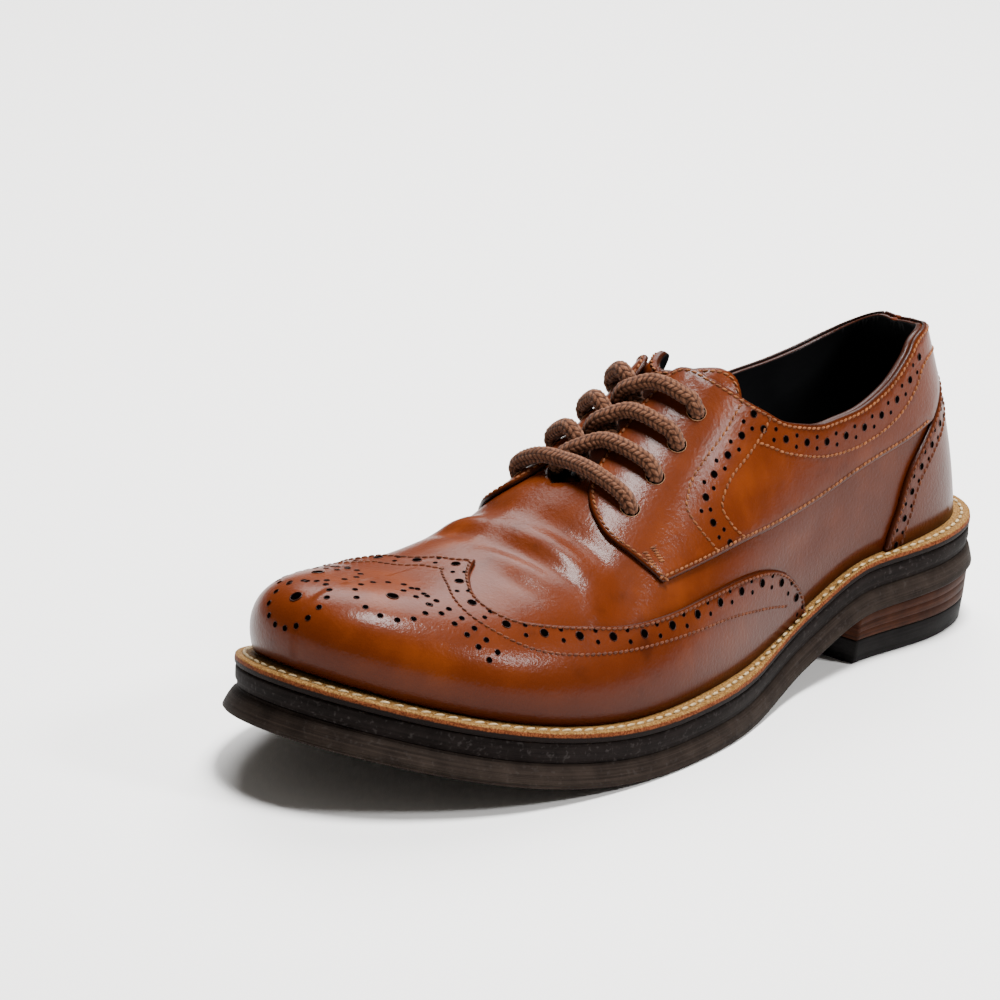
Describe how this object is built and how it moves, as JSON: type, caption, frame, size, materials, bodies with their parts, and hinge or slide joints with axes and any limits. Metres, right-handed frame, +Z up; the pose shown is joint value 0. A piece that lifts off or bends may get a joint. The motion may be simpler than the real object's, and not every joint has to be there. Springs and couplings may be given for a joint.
{
  "type": "brogue derby shoe",
  "caption": "Left brogue derby shoe with a hollow wing-tip upper, open laced throat, tongue, welted sole, midsole and stacked heel.",
  "frame": {"origin": "on the floor, under the middle of the shoe's bounding box", "axes": "+X to the toe, +Y to the lateral side, +Z up"},
  "size_m": [0.3056, 0.1176, 0.1069],
  "materials": {
    "upper_leather": "glossy burnished tan-brown",
    "tongue_leather": "smooth tan",
    "lining": "matte black",
    "welt": "waxed natural tan",
    "midsole": "dark grained edge",
    "sole_edge": "dyed dark brown-grey, fine striations",
    "heel": "stacked and stained",
    "top_lift": "matte",
    "lace": "braided brown cotton"
  },
  "bodies": {
    "root": {"outsole": "sole_edge", "midsole": "midsole", "welt": "welt", "heel_stack": "heel", "top_lift": "top_lift", "insole": "lining", "upper": "upper_leather", "wing_cap": "upper_leather", "counter": "upper_leather", "quarter_lateral": "upper_leather", "quarter_medial": "upper_leather", "tongue": "tongue_leather", "lace_bar": "lace", "lace_crossing_1": "lace", "lace_crossing_2": "lace", "lace_crossing_3": "lace"}
  },
  "joints": []
}
